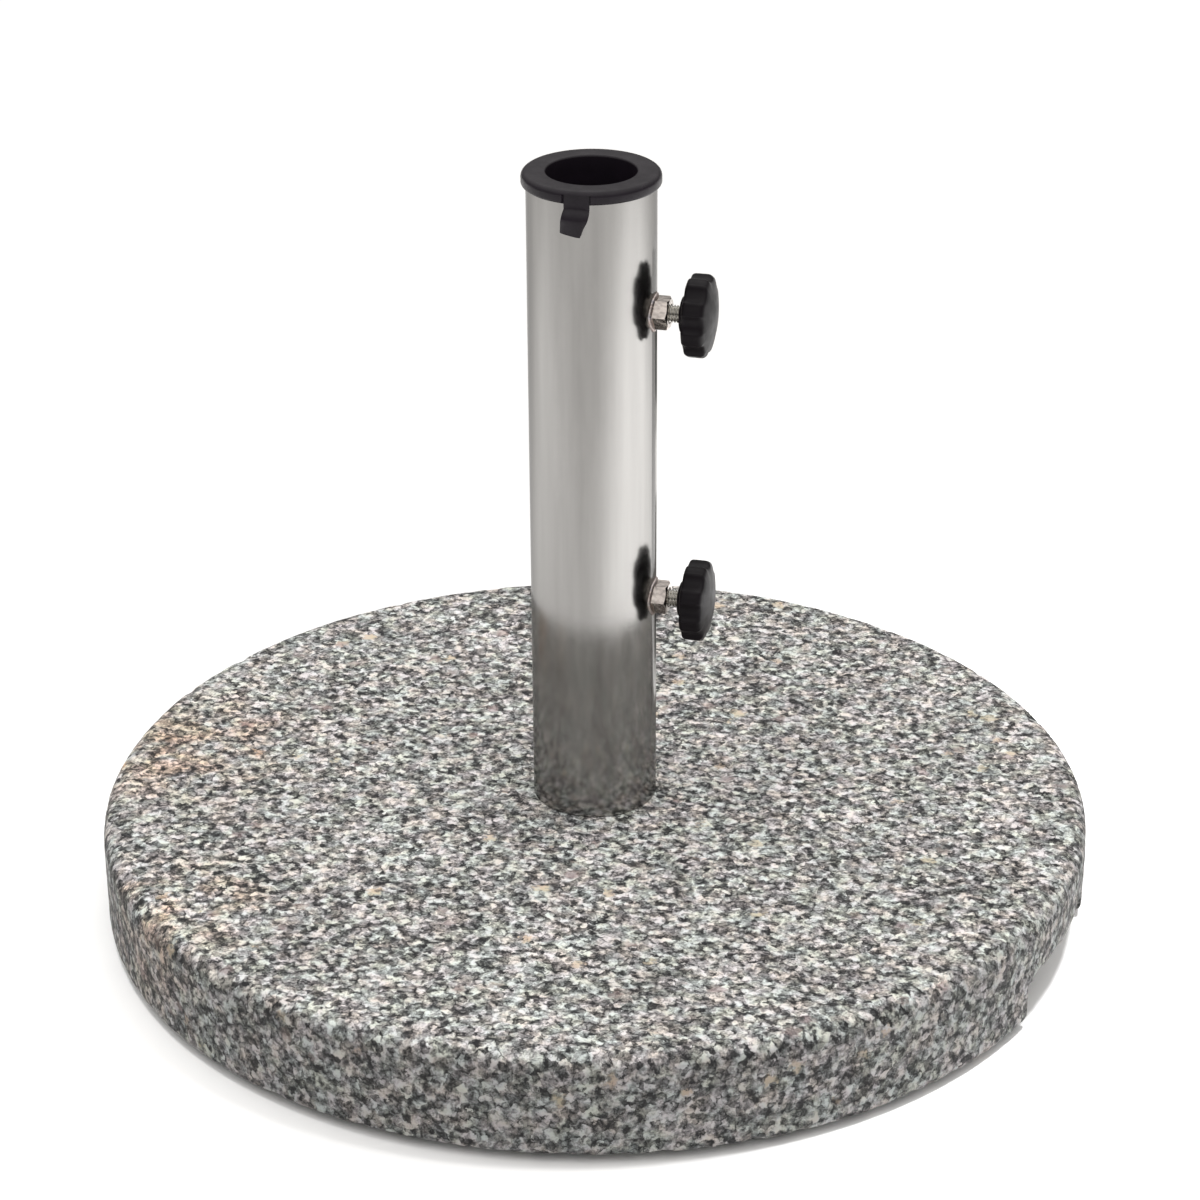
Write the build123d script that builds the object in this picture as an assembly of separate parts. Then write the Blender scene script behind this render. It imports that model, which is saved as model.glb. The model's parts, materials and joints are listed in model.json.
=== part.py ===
from build123d import *
from math import asin, cos, radians, sin, sqrt
import os

# Parasol base: a round granite slab, a stainless steel tube bolted down on its centre, a
# plastic reducer collar in the tube's mouth and two star-knob clamp screws in its side.
# Millimetres, +Z up. The origin is the centre of the footprint, on the ground. The two
# carrying grips lie on the X axis.

# Granite slab
SLAB_RADIUS = 225.0
SLAB_THICKNESS = 48.0
SLAB_TOP_ROUNDING = 8.0
SLAB_BOTTOM_BREAK = 2.0
SLAB_HOLE_RADIUS = 7.0
COUNTERBORE_RADIUS = 34.0
COUNTERBORE_DEPTH = 20.0
GRIP_WIDTH = 96.0
GRIP_DEPTH = 28.0
GRIP_HEIGHT = 19.7
GRIP_CORNER_RADIUS = 9.0
GRIP_CEILING_RADIUS = 5.0
GRIP_OVERHANG = 20.0

# Rubber feet
FOOT_RADIUS = 16.0
FOOT_HEIGHT = 3.0
FOOT_CIRCLE_RADIUS = 182.0
FOOT_COUNT = 4
FOOT_CHAMFER = 0.6

# Stainless tube and the steel foot welded inside its lower end
TUBE_RADIUS = 28.0
TUBE_WALL = 1.5
TUBE_LENGTH = 292.0
TUBE_EDGE_BREAK = 0.4
FOOT_PLATE_THICKNESS = 6.0
FOOT_PLATE_GAP = 0.1
FOOT_WELD_SIZE = 2.2

# M12 fastening from below
BOLT_RADIUS = 6.0
BOLT_LENGTH = 50.0
BOLT_HEAD_ACROSS_FLATS = 18.0
BOLT_HEAD_HEIGHT = 7.5
BOLT_HOLE_RADIUS = 6.6
BOLT_END_CHAMFER = 1.0
BOLT_THREAD_GAP = 0.05
M12_NUT_ACROSS_FLATS = 18.0
M12_NUT_HEIGHT = 10.0
WASHER_RADIUS = 25.0
WASHER_THICKNESS = 4.0
SPRING_WASHER_RADIUS = 10.5
SPRING_WASHER_THICKNESS = 2.5
SPRING_WASHER_GAP = 2.0

# Plastic liners that centre the pole
POLE_BORE_RADIUS = 19.4
LINER_WALL = 2.2
LINER_OUTER_RADIUS = 26.2
RIB_COUNT = 8
RIB_THICKNESS = 2.0
COLLAR_RIM_RADIUS = 30.0
COLLAR_RIM_HEIGHT = 5.7
COLLAR_RIM_ROUNDING = 2.4
COLLAR_BORE_CHAMFER = 0.8
COLLAR_SLEEVE_LENGTH = 38.0
COLLAR_RIB_LENGTH = 34.0
SEAT_FLOOR_THICKNESS = 3.0
SEAT_WALL_HEIGHT = 22.0
SEAT_FLOOR_CLEARANCE = 3.0
SEAT_WELD_GAP = 0.3
SEAT_RIB_STEP = 1.0

# Tab that hangs from the collar's rim, outside the tube
TAB_AZIMUTH = -83.0
TAB_DROP = 14.0
TAB_NECK_DROP = 2.4
TAB_GAP = 0.4
TAB_NECK_THICKNESS = 0.8
TAB_SHOULDER_THICKNESS = 3.4
TAB_SHOULDER_ROUNDING = 0.6
TAB_SHOULDER_DROPS = (4.0, 5.6, 7.4)
TAB_TIP_THICKNESS = 2.2
TAB_TOP_WIDTH = 10.8
TAB_TIP_WIDTH = 8.8
TAB_LEAN = 2.6
TAB_TIP_SLANT = 1.6
TAB_NOTCH_HEIGHT = 4.2
TAB_NOTCH_FLOOR = 29.4
TAB_ROOT_HEIGHT = 1.5

# Clamp screws: M8 stud in a welded nut, with a star knob outside and a nylon tip inside
SCREW_AZIMUTH = 7.0
SCREW_HEIGHTS = {"lower": 101.0, "upper": 236.0}
STUD_RADIUS = 3.9
STUD_THREAD_GAP = 0.05
STUD_HOLE_RADIUS = 4.6
M8_NUT_ACROSS_FLATS = 13.0
M8_NUT_FACE = 34.5
NUT_SINK = 1.4
NUT_CHAMFER_HEIGHT = 0.6
NUT_CHAMFER_WIDTH = 1.0
NUT_WELD_RADIUS = 8.6
NUT_WELD_HEIGHT = 1.3
NUT_WELD_SINK = 3.0
KNOB_BACK = 39.5
KNOB_LENGTH = 15.0
KNOB_RADIUS = 18.0
KNOB_HUB_RADIUS = 8.0
KNOB_HUB_HEIGHT = 2.2
KNOB_BACK_SLOPE = 0.8
KNOB_DOME_HEIGHT = 2.4
KNOB_EDGE_RADIUS = 1.5
KNOB_LOBES = 8
KNOB_LOBE_PHASE = 17.0
KNOB_SCALLOP_RADIUS = 6.5
KNOB_SCALLOP_DEPTH = 2.0
STUD_HEAD_ACROSS_FLATS = 11.0
STUD_HEAD_THICKNESS = 4.0
STUD_EMBEDMENT = 10.0
TIP_FACE = 19.6
TIP_RADIUS = 3.3
TIP_THICKNESS = 2.9
TIP_SHANK_RADIUS = 1.5
TIP_SHANK_LENGTH = 5.0
TIP_CHAMFER = 0.4
TIP_GAP = 0.05

# Heights that follow from the sizes above
SLAB_BOTTOM = FOOT_HEIGHT
SLAB_TOP = SLAB_BOTTOM + SLAB_THICKNESS
TUBE_TOP = SLAB_TOP + TUBE_LENGTH
TUBE_BORE_RADIUS = TUBE_RADIUS - TUBE_WALL
PLATE_TOP = SLAB_TOP + FOOT_PLATE_THICKNESS
COUNTERBORE_CEILING = SLAB_BOTTOM + COUNTERBORE_DEPTH
WASHER_BOTTOM = COUNTERBORE_CEILING - WASHER_THICKNESS
BOLT_SEAT = WASHER_BOTTOM - SPRING_WASHER_THICKNESS
SEAT_BOTTOM = PLATE_TOP + FOOT_WELD_SIZE + SEAT_WELD_GAP
SEAT_FLOOR = PLATE_TOP + M12_NUT_HEIGHT + SEAT_FLOOR_CLEARANCE
COLLAR_TOP = TUBE_TOP + COLLAR_RIM_HEIGHT
LINER_RADIUS = POLE_BORE_RADIUS + LINER_WALL
STUD_INNER_END = TIP_FACE + TIP_THICKNESS + TIP_GAP

# How far a cutting shape runs past a face, and how deep one shape is sunk in its neighbour
PAST = 1.0
SUNK = 0.5

BASE_UP = (Align.CENTER, Align.CENTER, Align.MIN)
OUTWARD_UP = (Align.MIN, Align.CENTER, Align.MIN)


def cylinder(radius, low, high):
    """Round bar about the Z axis between two heights."""
    return Pos(0, 0, low) * Cylinder(radius, high - low, align=BASE_UP)


def ring(outer, inner, low, high):
    """Straight-walled ring about the Z axis."""
    return cylinder(outer, low, high) - cylinder(inner, low - PAST, high + PAST)


def hexagon(across_flats, low, high):
    """Hexagonal bar about the Z axis, with two corners on the Y axis."""
    outline = Rot(0, 0, 90) * RegularPolygon(across_flats / sqrt(3), 6)
    return Pos(0, 0, low) * extrude(outline, high - low)


def circles(shape):
    """Circular edges of a shape, from the lowest to the highest."""
    return shape.edges().filter_by(GeomType.CIRCLE).sort_by(Axis.Z)


def turned(points):
    """Solid of revolution about the Z axis from a closed outline of (radius, height)."""
    outline = make_face(Polyline([(r, 0, z) for r, z in points], close=True))
    return revolve(outline, Axis.Z)


def around(shape, count, phase=0.0):
    """Copies of a shape spaced evenly about the Z axis."""
    return [Rot(0, 0, phase + 360 * k / count) * shape for k in range(count)]


def on_screw_axis(shape, which):
    """Move a shape whose +Z runs outward from the tube's axis on to a clamp screw's axis."""
    azimuth = radians(SCREW_AZIMUTH)
    outward = (cos(azimuth), sin(azimuth), 0)
    height = SLAB_TOP + SCREW_HEIGHTS[which]
    return Plane(origin=(0, 0, height), x_dir=(0, 0, 1), z_dir=outward).location * shape


def tube_envelope(radius):
    """Round bar of the tube's axis, lying across a clamp screw whose own axis is +Z."""
    return Rot(0, 90, 0) * Cylinder(radius, 2 * TUBE_RADIUS)


def granite_slab():
    slab = cylinder(SLAB_RADIUS, SLAB_BOTTOM, SLAB_TOP)
    slab = fillet(circles(slab)[-1], SLAB_TOP_ROUNDING)
    slab = chamfer(circles(slab)[0], SLAB_BOTTOM_BREAK)
    slab -= cylinder(SLAB_HOLE_RADIUS, 0, SLAB_TOP + PAST)
    slab -= cylinder(COUNTERBORE_RADIUS, 0, COUNTERBORE_CEILING)
    for side in (0, 180):
        slab -= Rot(0, 0, side) * grip_cutter()
    return slab


def grip_cutter():
    """Finger recess under the slab's edge, open at the rim and at the underside."""
    length = GRIP_DEPTH + GRIP_OVERHANG
    block = Box(length, GRIP_WIDTH, GRIP_HEIGHT + PAST, align=OUTWARD_UP)
    block = Pos(SLAB_RADIUS - GRIP_DEPTH, 0, SLAB_BOTTOM - PAST) * block
    inner_corners = block.edges().filter_by(Axis.Z).group_by(Axis.X)[0]
    block = fillet(inner_corners, GRIP_CORNER_RADIUS)
    ceiling = block.faces().sort_by(Axis.Z)[-1]
    outer_end = ceiling.edges().sort_by(Axis.X)[-1]
    rounded = [edge for edge in ceiling.edges() if edge != outer_end]
    return fillet(rounded, GRIP_CEILING_RADIUS)


def rubber_feet():
    foot = cylinder(FOOT_RADIUS, 0, FOOT_HEIGHT)
    foot = chamfer(circles(foot)[0], FOOT_CHAMFER)
    placed = Pos(FOOT_CIRCLE_RADIUS, 0, 0) * foot
    return Compound(around(placed, FOOT_COUNT, 180 / FOOT_COUNT))


def tube():
    body = ring(TUBE_RADIUS, TUBE_BORE_RADIUS, SLAB_TOP, TUBE_TOP)
    mouth = body.edges().filter_by(GeomType.CIRCLE).group_by(Axis.Z)[-1]
    body = chamfer(mouth, TUBE_EDGE_BREAK)
    stud_hole = Pos(0, 0, TUBE_RADIUS / 2) * Cylinder(STUD_HOLE_RADIUS, TUBE_RADIUS, align=BASE_UP)
    for which in SCREW_HEIGHTS:
        body -= on_screw_axis(stud_hole, which)
    return body


def foot_plate():
    """Steel disc inside the tube's lower end, which the fixing bolt pulls down."""
    return ring(TUBE_BORE_RADIUS - FOOT_PLATE_GAP, BOLT_HOLE_RADIUS, SLAB_TOP, PLATE_TOP)


def foot_weld():
    outer = TUBE_BORE_RADIUS - FOOT_PLATE_GAP
    inner = outer - FOOT_WELD_SIZE
    return turned([(inner, PLATE_TOP), (outer, PLATE_TOP), (outer, PLATE_TOP + FOOT_WELD_SIZE)])


def foot_nut():
    nut = hexagon(M12_NUT_ACROSS_FLATS, PLATE_TOP, PLATE_TOP + M12_NUT_HEIGHT)
    return nut - cylinder(BOLT_RADIUS + BOLT_THREAD_GAP, PLATE_TOP - PAST, SEAT_FLOOR)


def fixing_bolt():
    head = hexagon(BOLT_HEAD_ACROSS_FLATS, BOLT_SEAT - BOLT_HEAD_HEIGHT, BOLT_SEAT)
    shank = cylinder(BOLT_RADIUS, BOLT_SEAT, BOLT_SEAT + BOLT_LENGTH)
    return head + chamfer(circles(shank)[-1], BOLT_END_CHAMFER)


def fixing_washer():
    return ring(WASHER_RADIUS, BOLT_HOLE_RADIUS, WASHER_BOTTOM, COUNTERBORE_CEILING)


def spring_washer():
    """Split ring between the bolt's head and the flat washer."""
    height = SPRING_WASHER_THICKNESS + 2 * PAST
    split = Box(SPRING_WASHER_RADIUS + PAST, SPRING_WASHER_GAP, height, align=OUTWARD_UP)
    split = Pos(0, 0, BOLT_SEAT - PAST) * split
    return ring(SPRING_WASHER_RADIUS, BOLT_HOLE_RADIUS, BOLT_SEAT, WASHER_BOTTOM) - split


def ribs(low, high):
    """Radial ribs from a liner's wall out to the tube's bore."""
    start = LINER_RADIUS - SUNK
    length = LINER_OUTER_RADIUS + PAST - start
    rib = Pos(start, 0, low) * Box(length, RIB_THICKNESS, high - low, align=OUTWARD_UP)
    envelope = cylinder(LINER_OUTER_RADIUS, low, high)
    return [copy & envelope for copy in around(rib, RIB_COUNT, SCREW_AZIMUTH + 180 / RIB_COUNT)]


def pole_seat():
    """Cup at the tube's foot that covers the nut and centres the pole's lower end."""
    top = SEAT_FLOOR + SEAT_FLOOR_THICKNESS + SEAT_WALL_HEIGHT
    seat = ring(LINER_RADIUS, POLE_BORE_RADIUS, SEAT_BOTTOM, top)
    seat += cylinder(LINER_RADIUS, SEAT_FLOOR, SEAT_FLOOR + SEAT_FLOOR_THICKNESS)
    for rib in ribs(SEAT_BOTTOM, top - SEAT_RIB_STEP):
        seat += rib
    return seat


def pole_collar():
    """Reducer collar: a rim on the tube's mouth, a ribbed sleeve inside and a tab outside."""
    bottom = TUBE_TOP - COLLAR_SLEEVE_LENGTH
    rim = cylinder(COLLAR_RIM_RADIUS, TUBE_TOP, COLLAR_TOP)
    rim = fillet(circles(rim)[-1], COLLAR_RIM_ROUNDING)
    rim = fillet(circles(rim)[0], COLLAR_RIM_ROUNDING / 2)
    rim -= tab_notch()
    collar = rim + cylinder(LINER_RADIUS, bottom, TUBE_TOP)
    for rib in ribs(TUBE_TOP - COLLAR_RIB_LENGTH, TUBE_TOP):
        collar += rib
    collar -= cylinder(POLE_BORE_RADIUS, bottom - PAST, COLLAR_TOP + PAST)
    mouth = min(circles(collar).group_by(Axis.Z)[-1], key=lambda edge: edge.radius)
    collar = chamfer(mouth, COLLAR_BORE_CHAMFER)
    return collar + pole_tab()


def tab_notch():
    """Shallow recess in the rim's side, above the tab's neck."""
    far = 2 * COLLAR_RIM_RADIUS
    sector = Box(far, TAB_TOP_WIDTH, TAB_NOTCH_HEIGHT + PAST, align=OUTWARD_UP)
    sector = Rot(0, 0, TAB_AZIMUTH) * Pos(0, TAB_LEAN / 2, TUBE_TOP - PAST) * sector
    return sector & ring(far, TAB_NOTCH_FLOOR, TUBE_TOP - PAST, COLLAR_TOP)


def pole_tab():
    """Leaning tab: a thin neck, a bulged shoulder and a slanted tip, wrapped on the tube."""
    inner = TUBE_RADIUS + TAB_GAP
    root = TUBE_TOP + TAB_ROOT_HEIGHT
    neck = TUBE_TOP - TAB_NECK_DROP
    tip = TUBE_TOP - TAB_DROP
    upper, middle, lower = [TUBE_TOP - drop for drop in TAB_SHOULDER_DROPS]
    shoulder = inner + TAB_SHOULDER_THICKNESS
    side_view = [
        (inner, root), (inner + TAB_NECK_THICKNESS, root), (inner + TAB_NECK_THICKNESS, neck),
        (shoulder - TAB_SHOULDER_ROUNDING, upper), (shoulder, middle),
        (shoulder - TAB_SHOULDER_ROUNDING / 2, lower), (inner + TAB_TIP_THICKNESS, tip), (inner, tip),
    ]
    left_top = (TAB_LEAN - TAB_TOP_WIDTH) / 2
    right_top = left_top + TAB_TOP_WIDTH
    left_tip = (-TAB_LEAN - TAB_TIP_WIDTH) / 2
    right_tip = left_tip + TAB_TIP_WIDTH
    front_view = [
        (0, left_top, root + PAST), (0, right_top, root + PAST), (0, right_top, neck),
        (0, right_tip, tip), (0, left_tip, tip + TAB_TIP_SLANT), (0, left_top, neck),
    ]
    blank = extrude(make_face(Polyline(front_view, close=True)), 2 * TUBE_RADIUS, dir=(1, 0, 0))
    return turned(side_view) & (Rot(0, 0, TAB_AZIMUTH) * blank)


def clamp_nut(which):
    """Nut with a chamfered outer face and a hollowed inner end that fits the tube."""
    back = TUBE_RADIUS - NUT_SINK
    envelope = cylinder(M8_NUT_ACROSS_FLATS / sqrt(3), back, M8_NUT_FACE)
    envelope = chamfer(circles(envelope)[-1], NUT_CHAMFER_HEIGHT, NUT_CHAMFER_WIDTH)
    nut = hexagon(M8_NUT_ACROSS_FLATS, back, M8_NUT_FACE) & envelope
    nut -= tube_envelope(TUBE_RADIUS)
    nut -= cylinder(STUD_RADIUS + STUD_THREAD_GAP, 0, M8_NUT_FACE + PAST)
    return on_screw_axis(nut, which)


def nut_weld(which):
    """Fillet of weld metal round the nut, saddle-shaped where it sits on the tube."""
    bead = cylinder(NUT_WELD_RADIUS, TUBE_RADIUS - NUT_WELD_SINK, TUBE_RADIUS + NUT_WELD_HEIGHT)
    bead = bead & tube_envelope(TUBE_RADIUS + NUT_WELD_HEIGHT)
    bead -= tube_envelope(TUBE_RADIUS)
    bead -= hexagon(M8_NUT_ACROSS_FLATS, 0, M8_NUT_FACE)
    return on_screw_axis(bead, which)


def knob_stud(which):
    """M8 stud with a socket in its inner end for the pressure tip."""
    socket_end = STUD_INNER_END + TIP_SHANK_LENGTH + SUNK
    socket = cylinder(TIP_SHANK_RADIUS + TIP_GAP, STUD_INNER_END - PAST, socket_end)
    return on_screw_axis(stud_blank() - socket, which)


def stud_blank():
    """The stud without its socket; the knob is moulded round its hexagonal head."""
    end = KNOB_BACK + STUD_EMBEDMENT
    stud = cylinder(STUD_RADIUS, STUD_INNER_END, end)
    return stud + hexagon(STUD_HEAD_ACROSS_FLATS, end - STUD_HEAD_THICKNESS, end)


def star_knob(which):
    """Eight-lobed knob with a short hub behind it and a shallow spherical dome outside."""
    hub_top = KNOB_BACK + KNOB_HUB_HEIGHT
    rim_back = hub_top + KNOB_BACK_SLOPE
    face = KNOB_BACK + KNOB_LENGTH
    rim_front = face - KNOB_DOME_HEIGHT
    shoulder = KNOB_RADIUS - KNOB_EDGE_RADIUS
    sphere = (shoulder**2 + KNOB_DOME_HEIGHT**2) / (2 * KNOB_DOME_HEIGHT)
    half = asin(shoulder / sphere) / 2
    dome_middle = (sphere * sin(half), 0, face - sphere + sphere * cos(half))
    side = Polyline(
        (0, 0, face), (0, 0, KNOB_BACK), (KNOB_HUB_RADIUS, 0, KNOB_BACK),
        (KNOB_HUB_RADIUS, 0, hub_top), (shoulder, 0, rim_back),
        (KNOB_RADIUS, 0, rim_back + KNOB_EDGE_RADIUS),
        (KNOB_RADIUS, 0, rim_front - KNOB_EDGE_RADIUS), (shoulder, 0, rim_front)
    )
    dome = ThreePointArc((shoulder, 0, rim_front), dome_middle, (0, 0, face))
    knob = revolve(make_face(side.edges() + dome.edges()), Axis.Z)
    reach = KNOB_RADIUS + KNOB_SCALLOP_RADIUS - KNOB_SCALLOP_DEPTH
    scallop = Pos(reach, 0, 0) * cylinder(KNOB_SCALLOP_RADIUS, hub_top - PAST, face + PAST)
    for cutter in around(scallop, KNOB_LOBES, KNOB_LOBE_PHASE + 180 / KNOB_LOBES):
        knob -= cutter
    return on_screw_axis(knob - stud_blank(), which)


def pressure_tip(which):
    """Nylon pad that presses on the pole, with a shank that snaps into the stud."""
    top = TIP_FACE + TIP_THICKNESS
    pad = cylinder(TIP_RADIUS, TIP_FACE, top)
    pad = chamfer(circles(pad)[0], TIP_CHAMFER)
    return on_screw_axis(pad + cylinder(TIP_SHANK_RADIUS, top - SUNK, top + TIP_SHANK_LENGTH), which)


parts = {
    "granite_slab": granite_slab(),
    "rubber_feet": rubber_feet(),
    "tube": tube(),
    "foot_plate": foot_plate(),
    "foot_weld": foot_weld(),
    "foot_nut": foot_nut(),
    "fixing_bolt": fixing_bolt(),
    "fixing_washer": fixing_washer(),
    "spring_washer": spring_washer(),
    "pole_seat": pole_seat(),
    "pole_collar": pole_collar(),
}
for position in SCREW_HEIGHTS:
    parts[position + "_clamp_nut"] = clamp_nut(position)
    parts[position + "_nut_weld"] = nut_weld(position)
    parts[position + "_knob_stud"] = knob_stud(position)
    parts[position + "_star_knob"] = star_knob(position)
    parts[position + "_pressure_tip"] = pressure_tip(position)

os.makedirs("parts", exist_ok=True)
for node, shape in parts.items():
    export_step(shape, "parts/" + node + ".step")
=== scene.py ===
import json
from math import asin, atan2, ceil, cos, degrees, exp, pi, radians, sin, sqrt, tan

import bmesh
import bpy
import numpy as np
from mathutils import Matrix, Vector, noise


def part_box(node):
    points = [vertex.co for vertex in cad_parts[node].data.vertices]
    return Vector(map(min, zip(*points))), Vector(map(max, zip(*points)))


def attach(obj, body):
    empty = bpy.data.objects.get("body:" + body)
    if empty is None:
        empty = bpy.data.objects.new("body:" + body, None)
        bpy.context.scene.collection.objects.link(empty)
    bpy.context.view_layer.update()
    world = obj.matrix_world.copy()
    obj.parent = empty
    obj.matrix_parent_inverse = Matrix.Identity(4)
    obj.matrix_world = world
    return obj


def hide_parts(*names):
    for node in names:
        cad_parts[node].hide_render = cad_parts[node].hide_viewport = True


# A parasol base: granite slab, stainless tube, plastic reducer collar and star-knob clamp
# screws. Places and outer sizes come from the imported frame, in metres. Sizes that the frame
# doesn't hold, such as a thread's depth or the roughness of the stone, are named here.

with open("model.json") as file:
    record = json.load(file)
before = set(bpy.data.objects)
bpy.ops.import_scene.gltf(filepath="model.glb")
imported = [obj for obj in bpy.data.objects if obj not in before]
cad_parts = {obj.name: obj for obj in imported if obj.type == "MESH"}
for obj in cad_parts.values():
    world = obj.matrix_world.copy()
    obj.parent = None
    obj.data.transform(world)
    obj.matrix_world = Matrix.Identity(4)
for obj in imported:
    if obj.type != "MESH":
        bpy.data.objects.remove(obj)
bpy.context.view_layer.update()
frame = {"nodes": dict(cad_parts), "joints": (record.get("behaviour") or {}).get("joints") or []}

MM = 0.001
UP = Vector((0, 0, 1))
SIDES = ("upper", "lower")

# ---------------------------------------------------------------- places from the frame

tube_low, tube_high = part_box("tube")
rim_low, rim_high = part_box("pole_collar")

TUBE_RADIUS = tube_high.x
TUBE_BOTTOM, TUBE_TOP = tube_low.z, tube_high.z
RIM_RADIUS = rim_high.x
RIM_TOP = rim_high.z
SLEEVE_BOTTOM = rim_low.z


def screw_joint(which):
    """The hinge that a clamp screw turns on."""
    return next(j for j in frame["joints"] if j["name"] == which + "_screw_turn")


def screw_frame(which):
    """Matrix whose origin is on the tube's axis, whose Z runs out along a clamp screw and
    whose X is up."""
    joint = screw_joint(which)
    outward = -Vector(joint["axis"])
    across = outward.cross(UP)
    place = Vector((0, 0, joint["pos_m"][2]))
    matrix = Matrix((UP, across, outward)).transposed().to_4x4()
    return Matrix.Translation(place) @ matrix


def reach(node, which):
    """Lowest and highest distance of a CAD node's points along a clamp screw's axis."""
    outward = screw_frame(which).col[2].xyz
    along = [vertex.co.dot(outward) for vertex in frame["nodes"][node].data.vertices]
    return min(along), max(along)


# ---------------------------------------------------------------- mesh helpers


def mesh_object(name, points, faces, sharp_angle=35):
    """New smooth-shaded object, with edges sharper than the given angle kept sharp."""
    mesh = bpy.data.meshes.new(name)
    mesh.from_pydata([tuple(p) for p in points], [], faces)
    mesh.validate()
    shaped = bmesh.new()
    shaped.from_mesh(mesh)
    bmesh.ops.recalc_face_normals(shaped, faces=shaped.faces)
    limit = radians(sharp_angle)
    for edge in shaped.edges:
        edge.smooth = len(edge.link_faces) == 2 and edge.calc_face_angle() < limit
    for face in shaped.faces:
        face.smooth = True
    shaped.to_mesh(mesh)
    shaped.free()
    piece = bpy.data.objects.new(name, mesh)
    bpy.context.scene.collection.objects.link(piece)
    return piece


def grid_faces(rows, columns, wrap_rows=True, wrap_columns=True):
    """Quads of a grid of points stored row by row."""
    faces = []
    for i in range(rows if wrap_rows else rows - 1):
        for j in range(columns if wrap_columns else columns - 1):
            k, m = (i + 1) % rows, (j + 1) % columns
            faces.append((i * columns + j, k * columns + j, k * columns + m, i * columns + m))
    return faces


def turned(outline, steps):
    """Points and faces of a closed outline of (radius, height) turned about the Z axis."""
    points = []
    for k in range(steps):
        angle = 2 * pi * k / steps
        points += [(r * cos(angle), r * sin(angle), z) for r, z in outline]
    return points, grid_faces(steps, len(outline))


def arc(centre, radius, start, end, steps):
    """Points on a circle, from one angle to another in degrees."""
    angles = [radians(start + (end - start) * k / steps) for k in range(steps + 1)]
    return [(centre[0] + radius * cos(a), centre[1] + radius * sin(a)) for a in angles]


def joined(parts):
    """One set of points and faces from several."""
    points, faces = [], []
    for part_points, part_faces in parts:
        offset = len(points)
        points += list(part_points)
        faces += [tuple(index + offset for index in face) for face in part_faces]
    return points, faces


def placed(matrix, points):
    """Points moved by a matrix."""
    return [matrix @ Vector(p) for p in points]


def evaluated_mesh(piece):
    """The piece's mesh with its modifiers applied; the modifiers are removed."""
    evaluated = piece.evaluated_get(bpy.context.evaluated_depsgraph_get())
    mesh = bpy.data.meshes.new_from_object(evaluated)
    piece.modifiers.clear()
    return mesh


# ---------------------------------------------------------------- material helpers


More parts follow.
